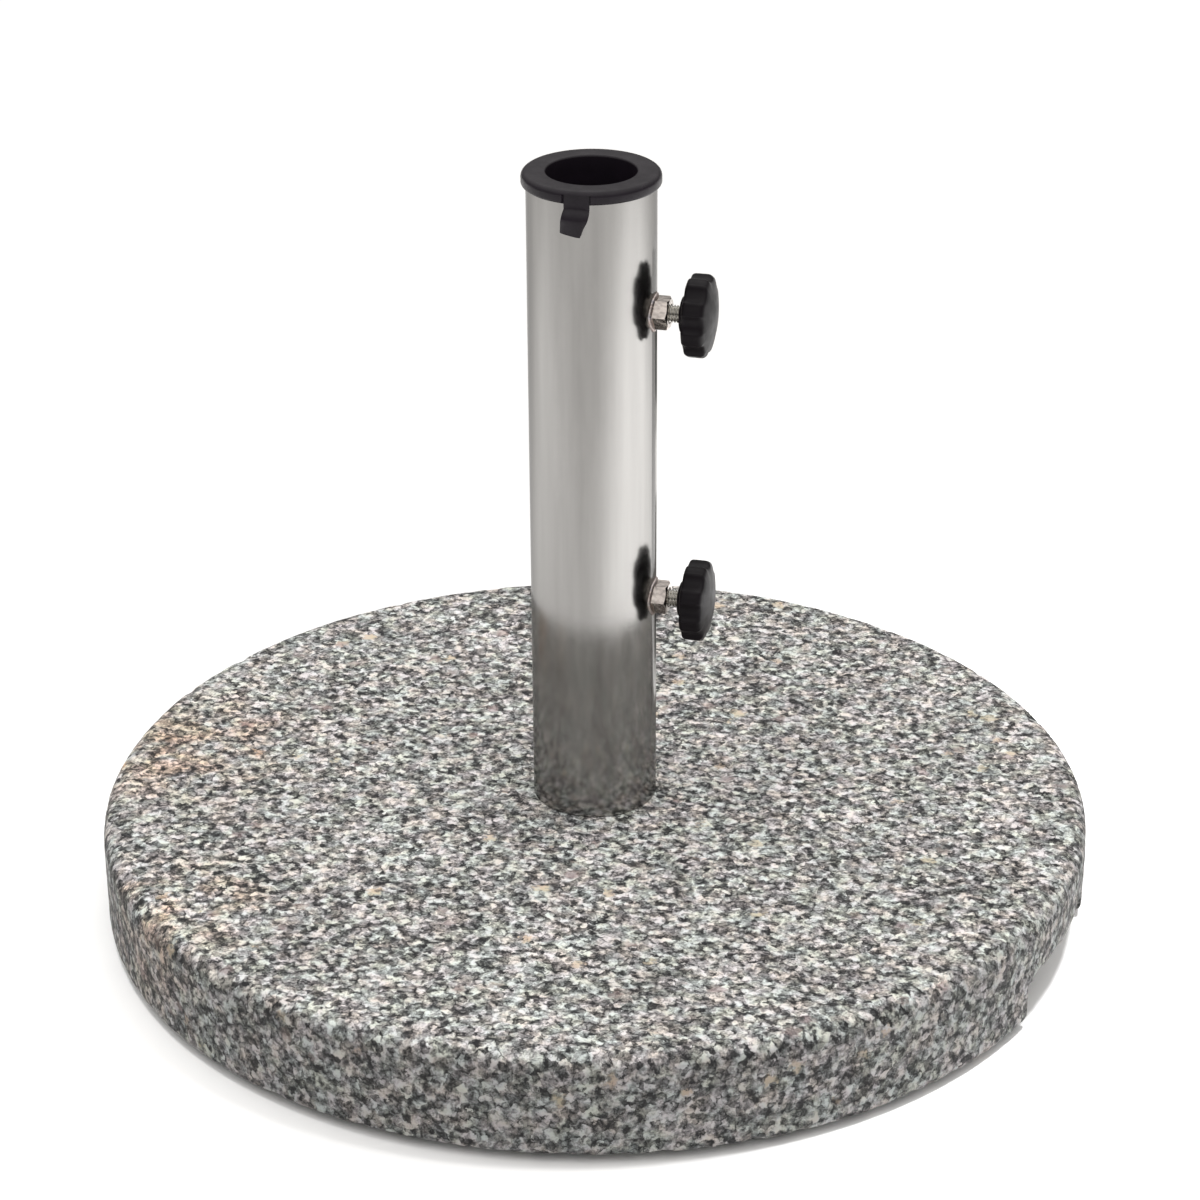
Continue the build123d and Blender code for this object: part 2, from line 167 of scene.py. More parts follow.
class Look:
    """A material with one Principled shader, and short ways to add nodes to it."""

    def __init__(self, name, **sockets):
        self.material = bpy.data.materials.new(name)
        self.material.use_nodes = True
        self.tree = self.material.node_tree
        self.shader = self.tree.nodes["Principled BSDF"]
        for socket, value in sockets.items():
            self.shader.inputs[socket.replace("_", " ")].default_value = value
        source = self.node("ShaderNodeTexCoord")
        self.place, self.way = source.outputs["Object"], source.outputs["Normal"]

    def node(self, kind, settings=None, **inputs):
        """New node, with its properties set and its inputs given a value or a link."""
        made = self.tree.nodes.new(kind)
        for key, value in (settings or {}).items():
            setattr(made, key, value)
        for socket, value in inputs.items():
            self.feed(made.inputs[socket.replace("_", " ")], value)
        return made

    def feed(self, socket, value):
        """Link a socket to an input, or set the input to a plain value."""
        if isinstance(value, bpy.types.NodeSocket):
            self.tree.links.new(value, socket)
        else:
            socket.default_value = value

    def noise(self, size, detail=2.0, rough=0.5, vector=None):
        """Noise whose features are about the given size in metres."""
        made = self.node(
            "ShaderNodeTexNoise", None, Vector=vector or self.place,
            Scale=1 / size, Detail=detail, Roughness=rough
        )
        return made.outputs["Fac"]

    def cells(self, size, vector):
        """Voronoi cells of about the given size in metres."""
        return self.node("ShaderNodeTexVoronoi", None, Vector=vector, Scale=1 / size)

    def channels(self, colour):
        """The Red, Green and Blue outputs of a colour."""
        return self.node("ShaderNodeSeparateColor", None, Color=colour).outputs

    def math(self, operation, a, b):
        """Result of a math operation on two values."""
        made = self.node("ShaderNodeMath", {"operation": operation})
        self.feed(made.inputs[0], a)
        self.feed(made.inputs[1], b)
        return made.outputs[0]

    def stretch(self, vector, scale):
        """Vector scaled by a factor on each axis."""
        made = self.node("ShaderNodeMapping", None, Vector=vector, Scale=scale)
        return made.outputs[0]

    def ramp(self, value, stops):
        """Colour ramp from a list of (position, grey or colour)."""
        made = self.node("ShaderNodeValToRGB", None, Fac=value)
        ramp = made.color_ramp
        while len(ramp.elements) < len(stops):
            ramp.elements.new(0.5)
        for element, (position, colour) in zip(ramp.elements, stops):
            element.position = position
            element.color = (*(colour if isinstance(colour, tuple) else (colour,) * 3), 1)
        return made.outputs["Color"]

    def span(self, value, low, high, from_low=0.0, from_high=1.0):
        """Value mapped from one range to another, held at its ends."""
        made = self.node("ShaderNodeMapRange", None, Value=value)
        for socket, number in (
            ("From Min", from_low), ("From Max", from_high), ("To Min", low), ("To Max", high)
        ):
            made.inputs[socket].default_value = number
        return made.outputs["Result"]

    def mix(self, factor, a, b, blend="MIX"):
        """Mix of two colours, each a socket or a plain colour."""
        made = self.node("ShaderNodeMix", {"data_type": "RGBA", "blend_type": blend})
        self.feed(made.inputs[0], factor)
        self.feed(made.inputs[6], a if isinstance(a, bpy.types.NodeSocket) else (*a, 1))
        self.feed(made.inputs[7], b if isinstance(b, bpy.types.NodeSocket) else (*b, 1))
        return made.outputs[2]

    def grey(self, value):
        """A value as a colour."""
        made = self.node("ShaderNodeCombineColor", None, Red=value, Green=value, Blue=value)
        return made.outputs[0]

    def offset(self, vector, source, amount):
        """Vector pushed about by a colour texture, by up to the given distance."""
        centred = self.node("ShaderNodeVectorMath", {"operation": "SUBTRACT"})
        self.feed(centred.inputs[0], source)
        centred.inputs[1].default_value = (0.5, 0.5, 0.5)
        made = self.node("ShaderNodeVectorMath", {"operation": "MULTIPLY_ADD"})
        self.feed(made.inputs[0], centred.outputs[0])
        made.inputs[1].default_value = (amount, amount, amount)
        self.feed(made.inputs[2], vector)
        return made.outputs[0]

    def bump(self, height, distance, strength, normal=None):
        """Normal tilted by a height that spans the given distance, in metres."""
        made = self.node(
            "ShaderNodeBump", None, Height=height, Distance=distance, Strength=strength
        )
        if normal:
            self.feed(made.inputs["Normal"], normal)
        return made.outputs[0]

    def set(self, **sockets):
        """The material, with the shader's sockets given a value or a link."""
        for socket, value in sockets.items():
            self.feed(self.shader.inputs[socket.replace("_", " ")], value)
        return self.material


def dress(piece, material):
    """Give the piece one material in place of any it has."""
    piece.data.materials.clear()
    piece.data.materials.append(material)


# ---------------------------------------------------------------- materials

STONE_CREAM = (0.74, 0.63, 0.50)
STONE_PINK = (0.42, 0.34, 0.325)
STONE_WHITE = (0.84, 0.82, 0.77)
STONE_GREYS = [
    (0.10, (0.014, 0.014, 0.016)), (0.27, (0.075, 0.074, 0.074)), (0.42, (0.25, 0.247, 0.242)),
    (0.56, (0.46, 0.455, 0.442)), (0.72, (0.80, 0.79, 0.77)), (0.90, (0.92, 0.915, 0.89)),
]
GRAIN = 0.0031
CRYSTAL = 0.0095
# channel of the crystal's random colour, share of crystals, colour, strength
CRYSTALS = (
    ("Red", 0.05, STONE_CREAM, 0.95), ("Green", 0.06, STONE_PINK, 0.6),
    ("Blue", 0.06, STONE_WHITE, 0.95),
)
# size of the drift, tint at one end, tint at the other
STONE_DRIFTS = (
    (0.009, (0.95, 1.015, 0.985), (1.04, 0.975, 0.98)),
    (0.007, (0.975, 0.99, 1.03), (1.025, 1.0, 0.945)),
)
# middle and radius of each stain
STAINS = (((-0.195, -0.03, 0.05), 0.07), ((-0.132, -0.158, 0.045), 0.05))
STAIN_TINT = (1.16, 0.955, 0.80)


def granite():
    """Flamed grey granite: salt-and-pepper grains, faint green and pink drifts, some crystals."""
    look = Look("granite", Roughness=0.8)
    drift = look.node("ShaderNodeTexNoise", None, Vector=look.place, Scale=1 / 0.003, Detail=3.0)
    warped = look.offset(look.place, drift.outputs["Color"], 0.005)
    value = grain_value(look, warped)
    base = look.ramp(value, STONE_GREYS)

    crystals = look.cells(CRYSTAL, look.offset(warped, drift.outputs["Color"], 0.004))
    pick = look.channels(crystals.outputs["Color"])
    middle = look.span(crystals.outputs["Distance"], 1.0, 0.0, 0.22, 0.42)
    broken = look.span(value, 0.5, 1.0, 0.15, 0.4)
    for channel, limit, colour, share in CRYSTALS:
        chance = look.math("LESS_THAN", pick[channel], limit)
        amount = look.math("MULTIPLY", look.math("MULTIPLY", chance, middle), share)
        base = look.mix(look.math("MULTIPLY", amount, broken), base, colour)

    for size, one, other in STONE_DRIFTS:
        hue = look.noise(size, 2.0, 0.5, warped)
        drifts = look.ramp(hue, [(0.38, one), (0.5, 1.0), (0.62, other)])
        base = look.mix(1.0, base, drifts, "MULTIPLY")

    cloud = look.ramp(look.noise(0.05, 3.0), [(0.3, 0.88), (0.7, 1.10)])
    base = look.mix(1.0, base, cloud, "MULTIPLY")
    base = look.mix(stain(look), base, STAIN_TINT, "MULTIPLY")
    # The sides are darker than the top, partly the real sawn and flamed finishes and partly
    # painted shade: darker the further a face turns from upward, a little lighter on the top.
    facing = look.node("ShaderNodeSeparateXYZ", None, Vector=look.way)
    flamed_top_and_painted_side_shade = look.span(facing.outputs["Z"], 0.47, 1.06, 0.35, 0.92)
    base = look.mix(1.0, base, look.grey(flamed_top_and_painted_side_shade), "MULTIPLY")

    relief = look.bump(value, 0.0007, 0.55)
    pitted = look.bump(look.noise(0.0012, 3.0, 0.6), 0.0003, 0.5, relief)
    return look.set(Base_Color=base, Normal=pitted)


def grain_value(look, warped):
    """How light each point's mineral is: a value a grain, clouds, flecks and dark hems."""
    grains = look.cells(GRAIN, warped)
    each = look.channels(grains.outputs["Color"])
    cloudy = look.span(look.noise(0.0036, 4.0, 0.62, warped), 0.0, 1.0, 0.32, 0.66)
    flecks = look.span(look.noise(0.0011, 2.0, 0.5), -0.09, 0.09, 0.3, 0.7)
    value = look.math("ADD", look.math("MULTIPLY", each["Red"], 0.44), flecks)
    value = look.math("ADD", value, look.math("MULTIPLY", cloudy, 0.56))
    hem = look.span(grains.outputs["Distance"], 0.06, -0.13, 0.15, 0.75)
    return look.math("ADD", value, hem)


def stain(look):
    """How far the warm iron stains at one side of the slab colour a point."""
    patchy = look.span(look.noise(0.02, 3.0), 0.0, 1.0, 0.40, 0.56)
    total = 0.0
    for place, radius in STAINS:
        away = look.node("ShaderNodeVectorMath", {"operation": "DISTANCE"})
        look.feed(away.inputs[0], look.place)
        away.inputs[1].default_value = place
        near = look.span(away.outputs["Value"], 1.0, 0.0, 0.015, radius)
        total = look.math("MAXIMUM", near, total)
    return look.math("MULTIPLY", total, patchy)


def brushed_stainless():
    """Stainless tube with fine circumferential brushing, soft bands and faint handling marks."""
    look = Look("brushed_stainless", Metallic=1.0)
    look.shader.inputs["Anisotropic"].default_value = 0.8
    look.shader.inputs["Specular Tint"].default_value = (0.6, 0.6, 0.6, 1)
    rings = look.stretch(look.place, (60.0, 60.0, 5200.0))
    lines = look.node("ShaderNodeTexNoise", None, Vector=rings, Scale=1.0, Detail=2.0)
    marks = look.noise(0.03, 4.0, 0.65, look.stretch(look.place, (1.6, 1.6, 0.45)))
    bands = look.noise(0.016, 2.0, 0.5, look.stretch(look.place, (1.0, 1.0, 0.06)))
    rough = look.math(
        "ADD", look.span(lines.outputs["Fac"], 0.12, 0.19, 0.3, 0.7),
        look.span(marks, 0.0, 0.07, 0.45, 0.75)
    )
    streaks = look.noise(0.006, 3.0, 0.6, look.stretch(look.place, (1.0, 1.0, 0.05)))
    tint = look.ramp(bands, [(0.3, (0.285, 0.278, 0.27)), (0.7, (0.365, 0.357, 0.347))])
    tint = look.mix(1.0, tint, look.ramp(streaks, [(0.35, 0.955), (0.65, 1.045)]), "MULTIPLY")
    tint = look.mix(look.span(marks, 0.0, 0.35, 0.5, 0.7), tint, (0.39, 0.38, 0.37))
    turn = look.node("ShaderNodeTangent", {"direction_type": "RADIAL", "axis": "Z"})
    scratched = look.bump(lines.outputs["Fac"], 0.00001, 0.35)
    return look.set(Roughness=rough, Base_Color=tint, Tangent=turn.outputs[0], Normal=scratched)


def steel(name, colour, rough, speckle=0.05, dents=0.00003):
    """Plated or turned steel hardware with fine wear."""
    look = Look(name, Metallic=1.0)
    wear = look.noise(0.0015, 4.0, 0.6)
    patches = look.noise(0.006, 2.0)
    dull = tuple(c * 0.82 for c in colour)
    tone = look.mix(look.span(patches, 0.0, 1.0, 0.4, 0.6), colour, dull)
    finish = look.span(wear, rough - speckle, rough + speckle, 0.3, 0.7)
    uneven = look.bump(look.noise(0.0028, 1.0), dents, 0.8)
    worn = look.bump(wear, 0.00003, 0.5, uneven)
    return look.set(Base_Color=tone, Roughness=finish, Normal=worn)


def weld_metal():
    """Weld bead with a faint pink and brown heat tint."""
    look = Look("weld_metal", Metallic=1.0)
    wave = look.noise(0.003, 3.0)
    tone = look.ramp(wave, [
        (0.3, (0.38, 0.30, 0.28)), (0.5, (0.56, 0.49, 0.46)), (0.7, (0.42, 0.39, 0.42)),
    ])
    rough = look.span(wave, 0.28, 0.45, 0.3, 0.7)
    return look.set(Base_Color=tone, Roughness=rough, Normal=look.bump(wave, 0.0001, 0.5))


def moulded(name, colour, rough, grain, depth, gloss=0.22):
    """Moulded plastic with a fine spark-eroded texture and rubbed high spots."""
    look = Look(name)
    look.shader.inputs["Specular IOR Level"].default_value = gloss
    skin = look.noise(grain, 3.0, 0.6)
    rubbed = look.noise(0.007, 3.0, 0.6)
    paler = tuple(c * 1.35 for c in colour)
    tone = look.mix(look.span(rubbed, 0.0, 1.0, 0.4, 0.7), colour, paler)
    finish = look.span(rubbed, rough + 0.06, rough - 0.07, 0.35, 0.7)
    return look.set(Base_Color=tone, Roughness=finish, Normal=look.bump(skin, depth, 0.6))


# ---------------------------------------------------------------- granite slab

STONE_GRID = 0.0022
ROUGHNESS_SIZES = ((0.0045, 0.00030), (0.0095, 0.00022), (0.045, 0.00035))
CHIP_SIZE = 0.007
CHIP_DEPTH = 0.0011
CHIP_SHIFT = Vector((3.1, 7.7, 1.3))
CHIP_LIMIT = 0.15
SMOOTH_SEAT = 0.006


def stone_depth(point, edge):
    """How far the worked face lies below the ideal surface at a point."""
    depth = 0.0
    for size, height in ROUGHNESS_SIZES:
        depth += height * (0.5 + 0.5 * noise.noise(point / size))
    chips = max(0.0, noise.noise(point / CHIP_SIZE + CHIP_SHIFT) - CHIP_LIMIT)
    return depth + edge * CHIP_DEPTH * chips / 0.5


def slab():
    """The slab's stone: the CAD solid remeshed evenly, then worn and roughened inward."""
    source = frame["nodes"]["granite_slab"]
    piece = bpy.data.objects.new("granite_stone", source.data.copy())
    bpy.context.scene.collection.objects.link(piece)
    remesh = piece.modifiers.new("even", "REMESH")
    remesh.mode = "VOXEL"
    remesh.voxel_size = STONE_GRID
    mesh = evaluated_mesh(piece)
    piece.data = mesh
    count = len(mesh.vertices)
    places = np.empty(count * 3)
    normals = np.empty(count * 3)
    mesh.vertices.foreach_get("co", places)
    mesh.vertex_normals.foreach_get("vector", normals)
    places, normals = places.reshape(-1, 3), normals.reshape(-1, 3)
    for k in range(count):
        x, y, z = places[k]
        radius = sqrt(x * x + y * y)
        flatness = max(abs(normals[k][2]), sqrt(normals[k][0] ** 2 + normals[k][1] ** 2))
        edge = min(1.0, (1.0 - flatness) / 0.12)
        depth = stone_depth(Vector(places[k]), edge)
        settled = min(1.0, max(0.0, (radius - TUBE_RADIUS) / SMOOTH_SEAT))
        places[k] -= normals[k] * depth * settled
    mesh.vertices.foreach_set("co", places.ravel())
    for face in mesh.polygons:
        face.use_smooth = True
    mesh.update()
    dress(piece, granite())
    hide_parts("granite_slab")
    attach(piece, "base")


# ---------------------------------------------------------------- tube

TUBE_WALL = 1.5 * MM
TUBE_STEPS = 256
LIP = 0.4 * MM
END_BAND = 0.02


def tube():
    """The stainless tube as one fine turned wall with softened lips."""
    inner = TUBE_RADIUS - TUBE_WALL
    outline = [
        (TUBE_RADIUS - LIP, TUBE_BOTTOM), (TUBE_RADIUS, TUBE_BOTTOM + LIP),
        (TUBE_RADIUS, TUBE_BOTTOM + END_BAND), (TUBE_RADIUS, TUBE_TOP - END_BAND),
        (TUBE_RADIUS, TUBE_TOP - LIP), (TUBE_RADIUS - LIP, TUBE_TOP),
        (inner + LIP, TUBE_TOP), (inner, TUBE_TOP - LIP), (inner, TUBE_TOP - END_BAND),
        (inner, TUBE_BOTTOM + END_BAND), (inner, TUBE_BOTTOM + LIP), (inner + LIP, TUBE_BOTTOM),
    ]
    points, faces = turned(outline, TUBE_STEPS)
    piece = mesh_object("stainless_tube", points, faces)
    for which in SIDES:
        drill(piece, which)
    dress(piece, brushed_stainless())
    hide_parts("tube")
    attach(piece, "base")


STUD_HOLE_RADIUS = 4.6 * MM
DRILL_START, DRILL_END = 20 * MM, 40 * MM


def drill(piece, which):
    """Cut the hole that a clamp screw passes through the tube's wall."""
    steps = 48
    points, faces = [], []
    for k in range(steps):
        angle = 2 * pi * k / steps
        x, y = STUD_HOLE_RADIUS * cos(angle), STUD_HOLE_RADIUS * sin(angle)
        points += [(x, y, DRILL_START), (x, y, DRILL_END)]
    for k in range(steps):
        m = (k + 1) % steps
        faces.append((2 * k, 2 * m, 2 * m + 1, 2 * k + 1))
    faces.append(tuple(2 * k for k in range(steps)))
    faces.append(tuple(2 * k + 1 for k in range(steps)))
    cutter = mesh_object("cutter", placed(screw_frame(which), points), faces)
    cut = piece.modifiers.new("hole", "BOOLEAN")
    cut.operation = "DIFFERENCE"
    cut.solver = "EXACT"
    cut.object = cutter
    piece.data = evaluated_mesh(piece)
    bpy.data.objects.remove(cutter)


# ---------------------------------------------------------------- collar

BORE_RADIUS = 19.4 * MM
LINER_WALL = 2.2 * MM
RIM_CROWN = 2.4 * MM
RIM_HEM = 1.2 * MM
BORE_ROUNDING = 0.9 * MM
RIB_COUNT = 8
RIB_THICKNESS = 2.0 * MM
RIB_REACH = 26.2 * MM
RIB_LENGTH = 34 * MM
RIB_TAPER = 1.0 * MM
RIB_SUNK = 0.3 * MM
SLEEVE_LIP = 0.5 * MM
TAB_AZIMUTH = radians(-84.5)
TAB_GAP = 0.4 * MM
TAB_SLANT = 1.6 * MM
TAB_ROUNDING = 0.45 * MM
# drop below the tube's mouth, thickness, left edge, right edge, all in millimetres
TAB_ROWS = [
    (-4.1, 0.45, -4.1, 6.7), (0.2, 0.45, -4.1, 6.7), (1.8, 0.5, -4.1, 6.7),
    (2.5, 0.8, -4.1, 6.7), (3.2, 1.65, -4.12, 6.6), (4.2, 2.4, -4.2, 6.45),
    (5.3, 2.95, -4.3, 6.2), (6.4, 3.25, -4.4, 5.85), (7.4, 3.3, -4.55, 5.4),
    (8.4, 3.05, -4.7, 4.9), (9.9, 2.7, -4.9, 4.2), (11.8, 2.4, -5.1, 3.5),
    (13.4, 2.25, -5.25, 2.95)
]
NOTCH_RADIUS = 28.6 * MM
NOTCH_TOP = 4.2 * MM
NOTCH_LEFT, NOTCH_RIGHT = -4.3 * MM, 6.9 * MM
RIM_STEPS = 480


def collar():
    """Reducer collar: crowned rim, ribbed sleeve and the leaning tab in front."""
    sleeve = BORE_RADIUS + LINER_WALL
    parts = [rim_shape(sleeve), tab_shape()]
    parts += [rib_shape(k, sleeve) for k in range(RIB_COUNT)]
    points, faces = joined(parts)
    piece = mesh_object("reducer_collar", points, faces)
    dress(piece, moulded("collar_plastic", (0.0115, 0.0085, 0.0125), 0.34, 0.0006, 0.00004))
    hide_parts("pole_collar")
    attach(piece, "collar")


def rim_shape(sleeve):
    """Turned rim and sleeve, with a notch in the rim's side over the tab's neck."""
    crown = (RIM_RADIUS - RIM_CROWN, RIM_TOP - RIM_CROWN)
    hem = (RIM_RADIUS - RIM_HEM, TUBE_TOP + RIM_HEM)
    ceiling = TUBE_TOP + NOTCH_TOP
    split = degrees(asin((ceiling - crown[1]) / RIM_CROWN))
    side = arc(hem, RIM_HEM, -90, 0, 6) + arc(crown, RIM_CROWN, 0, split, 4)
    top = arc(crown, RIM_CROWN, split + 1, 90, 8)
    mouth = (BORE_RADIUS + BORE_ROUNDING, RIM_TOP - BORE_ROUNDING)
    inside = arc(mouth, BORE_ROUNDING, 90, 180, 5)
    inside += [(BORE_RADIUS, TUBE_TOP), (BORE_RADIUS, SLEEVE_BOTTOM)]
    inside += [
        (sleeve - SLEEVE_LIP, SLEEVE_BOTTOM), (sleeve, SLEEVE_BOTTOM + SLEEVE_LIP),
        (sleeve, TUBE_TOP)
    ]
    points = []
    for k in range(RIM_STEPS):
        angle = 2 * pi * k / RIM_STEPS
        across = ((angle - TAB_AZIMUTH + pi) % (2 * pi) - pi) * TUBE_RADIUS
        notched = NOTCH_LEFT < across < NOTCH_RIGHT
        cut = [(min(r, NOTCH_RADIUS), z) for r, z in side] if notched else side
        points += [(r * cos(angle), r * sin(angle), z) for r, z in cut + top + inside]
    return points, grid_faces(RIM_STEPS, len(side) + len(top) + len(inside))


def rib_shape(k, sleeve):
    """One of the ribs between the sleeve and the tube, spaced so that the screws miss them."""
    axis = screw_joint("upper")["axis"]
    first = atan2(-axis[1], -axis[0]) + pi / RIB_COUNT
    turn = Matrix.Rotation(first + 2 * pi * k / RIB_COUNT, 4, "Z")
    half = RIB_THICKNESS / 2
    low, high = TUBE_TOP - RIB_LENGTH, TUBE_TOP
    corners = [
        (sleeve - RIB_SUNK, low), (RIB_REACH - RIB_TAPER, low), (RIB_REACH, low + 2 * RIB_TAPER),
        (RIB_REACH, high), (sleeve - RIB_SUNK, high)
    ]
    points = [(r, side * half, z) for side in (-1, 1) for r, z in corners]
    count = len(corners)
    faces = [tuple(range(count)), tuple(range(count, 2 * count))]
    faces += [(i, (i + 1) % count, (i + 1) % count + count, i + count) for i in range(count)]
    return placed(turn, points), faces


def tab_shape():
    """The tab: a thin neck under the rim, a rounded shoulder, and a slanted flat tip."""
    inner = TUBE_RADIUS + TAB_GAP
    tip = TAB_ROWS[-1][0]
    columns = 9
    outer, inside = [], []
    for drop, thickness, left, right in TAB_ROWS:
        for j in range(columns):
            share = j / (columns - 1)
            across = (left + (right - left) * share) * MM
            tilt = TAB_SLANT * (0.55 - share) * min(1.0, drop / tip) if drop > 0 else 0.0
            height = TUBE_TOP - drop * MM + tilt
            round_off = TAB_ROUNDING * (abs(2 * share - 1) ** 6)
            radius = inner + thickness * MM - (round_off if drop > 2 else 0.0)
            angle = TAB_AZIMUTH + across / TUBE_RADIUS
            outer.append((radius * cos(angle), radius * sin(angle), height))
            inside.append((inner * cos(angle), inner * sin(angle), height))
    count = len(outer)
    rows = len(TAB_ROWS)
    faces = grid_faces(rows, columns, False, False)
    faces += [tuple(reversed([i + count for i in face])) for face in faces]
    ring = list(range(columns)) + [columns * r + columns - 1 for r in range(1, rows)]
    ring += [count - 1 - j for j in range(1, columns)]
    ring += [columns * r for r in range(rows - 2, 0, -1)]
    for a, b in zip(ring, ring[1:] + ring[:1]):
        faces.append((a, b, b + count, a + count))
    return outer + inside, faces


# ---------------------------------------------------------------- clamp screws

THREAD_PITCH = 1.25 * MM
THREAD_DEPTH = 0.62 * MM
THREAD_RUN_OUT = 0.8 * MM
STUD_RADIUS = 3.9 * MM
STUD_IN_HUB = 3 * MM
NUT_ACROSS_FLATS = 13 * MM
NUT_CHAMFER = radians(30)
NUT_SINK = 1.2 * MM
WELD_RADIUS = 7.3 * MM
WELD_WIDTH = 1.15 * MM
WELD_HEIGHT = 0.95 * MM
KNOB_RADIUS = 18 * MM
KNOB_LOBES = 8
KNOB_PHASE = radians(17)
SCALLOP_RADIUS = 6.5 * MM
SCALLOP_DEPTH = 2.0 * MM
SCALLOP_SOFTNESS = 0.45 * MM
# radius and height above the back, in millimetres, from the hub's back to the domed face
KNOB_OUTLINE = [
    (4.2, 0.0), (6.9, 0.0), (7.7, 0.25), (8.0, 0.9), (8.05, 1.6), (8.5, 2.1), (9.6, 2.3),
    (12.0, 2.45), (14.5, 2.65), (16.2, 2.85), (17.1, 3.2), (17.7, 3.8), (17.95, 4.6),
    (18.0, 5.6), (18.0, 7.5), (18.0, 9.6), (17.95, 10.5), (17.7, 11.3), (17.2, 11.95),
    (16.5, 12.45), (15.4, 12.85), (13.0, 13.45), (10.0, 14.1), (7.0, 14.55), (4.0, 14.85),
    (1.5, 14.97)
]
KNOB_HUB = 8.3


def hexagon_radius(angle, across_flats):
    """Distance from the axis to a hexagon's side, with two corners on the local Y axis."""
    sector = pi / 3
    offset = (angle + sector / 2) % sector - sector / 2
    return across_flats / 2 / cos(offset)


def nut(which):
    """Welded M8 nut with a chamfered outer face and a countersunk hole."""
    face = reach(which + "_clamp_nut", which)[1]
    back = TUBE_RADIUS - NUT_SINK
    steps = 144
    chamfer_start = NUT_ACROSS_FLATS / 2 - 0.25 * MM
    bore = STUD_RADIUS + 0.05 * MM
    rows = []
    for k in range(steps):
        angle = 2 * pi * k / steps
        side = hexagon_radius(angle, NUT_ACROSS_FLATS)
        drop = max(0.0, side - chamfer_start) * tan(NUT_CHAMFER)
        saddle = TUBE_RADIUS - sqrt(TUBE_RADIUS**2 - (side * sin(angle)) ** 2)
        foot = TUBE_RADIUS - saddle - 0.1 * MM
        outline = [
            (bore, back), (side, foot), (side, foot + 0.3 * (face - foot)),
            (side, face - drop - 0.25 * MM),
            (side - 0.12 * MM, face - drop - 0.04 * MM), (chamfer_start, face),
            (bore + 0.75 * MM, face), (bore, face - 0.7 * MM)
        ]
        rows += [(r * cos(angle), r * sin(angle), z) for r, z in outline]
    faces = grid_faces(steps, len(outline))
    points = placed(screw_frame(which), rows)
    piece = mesh_object(which + "_hex_nut", points, faces, 25)
    dress(piece, NUT_STEEL)
    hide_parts(which + "_clamp_nut")
    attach(piece, "base")


def weld_bead(which):
    """Rippled bead that follows the tube's round side about the nut."""
    steps, section = 180, 10
    points = []
    for k in range(steps):
        angle = 2 * pi * k / steps
        side = hexagon_radius(angle, NUT_ACROSS_FLATS)
        middle = 0.35 * side + 0.65 * WELD_RADIUS + 0.15 * MM
        lump = noise.noise(Vector((cos(angle), sin(angle), 5)) * 4)
        ripple = 1 + 0.10 * sin(angle * 34) + 0.12 * lump
        for m in range(section):
            around = 2 * pi * m / section
            out = middle + WELD_WIDTH * ripple * cos(around)
            across = out * sin(angle)
            surface = sqrt(TUBE_RADIUS**2 - across**2)
            height = surface + WELD_HEIGHT * ripple * sin(around) - 0.1 * MM
            points.append((out * cos(angle), across, height))
    faces = grid_faces(steps, section)
    piece = mesh_object(which + "_weld_bead", placed(screw_frame(which), points), faces, 80)
    dress(piece, WELD)
    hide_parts(which + "_nut_weld")
    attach(piece, "base")


def thread_profile(phase):
    """Depth of the thread below its crest over one pitch: flat crest, slope, root, slope."""
    crest, slope = 0.14, 0.36
    if phase < crest:
        return 0.0
    if phase < crest + slope:
        return (phase - crest) / slope
    if phase < 1 - slope:
        return 1.0
    return (1 - phase) / slope


def threaded_stud(which):
    """The M8 stud with its right-hand thread, run out smoothly at both ends. Points follow the
    helix, and those past an end lie on its flat face, closer to the axis the further past."""
    low, high = reach(which + "_knob_stud", which)
    high = min(high, reach(which + "_star_knob", which)[0] + STUD_IN_HUB)
    steps, per_turn = 48, 10
    rows = (ceil((high - low) / THREAD_PITCH) + 2) * per_turn + 1
    root = STUD_RADIUS - 1.1 * THREAD_DEPTH
    points = []
    for i in range(steps):
        for j in range(rows):
            phase = j / per_turn
            height = low + (phase - 1 + i / steps) * THREAD_PITCH
            past = max(low - height, height - high, 0.0)
            lead = min(1.0, max(0.0, min(height - low, high - height)) / THREAD_RUN_OUT)
            crest = STUD_RADIUS - THREAD_DEPTH * thread_profile(phase % 1.0)
            radius = min(crest, root + (STUD_RADIUS - root) * lead)
            radius *= exp(-0.5 * past / THREAD_PITCH)
            angle = 2 * pi * i / steps
            points.append((radius * cos(angle), radius * sin(angle), min(max(height, low), high)))
    faces = grid_faces(steps, rows, False, False)
    last = (steps - 1) * rows
    for j in range(rows - 1 - per_turn):
        faces.append((last + j, j + per_turn, j + per_turn + 1, last + j + 1))
    top = last + rows - 2
    faces.append([i * rows for i in range(steps)] + list(range(per_turn, 0, -1)))
    faces.append([(i + 1) * rows - 1 for i in range(steps)] + list(range(top, top - per_turn, -1)))
    piece = mesh_object(which + "_threaded_stud", placed(screw_frame(which), points), faces, 50)
    dress(piece, ZINC)
    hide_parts(which + "_knob_stud")
    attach(piece, which + "_screw")


def lobed(radius, angle):
    """A radius of the knob drawn in toward the scallops, the more so the nearer to the rim."""
    spacing = 2 * pi / KNOB_LOBES
    from_valley = (angle - KNOB_PHASE) % spacing - spacing / 2
    centre = KNOB_RADIUS + SCALLOP_RADIUS - SCALLOP_DEPTH
    side = centre * sin(from_valley)
    if abs(side) >= SCALLOP_RADIUS:
        valley = KNOB_RADIUS
    else:
        valley = centre * cos(from_valley) - sqrt(SCALLOP_RADIUS**2 - side**2)
    limit = soft_minimum(KNOB_RADIUS, valley, SCALLOP_SOFTNESS)
    share = (radius / KNOB_RADIUS) ** 6
    return radius * (1 - share) + share * limit * radius / KNOB_RADIUS


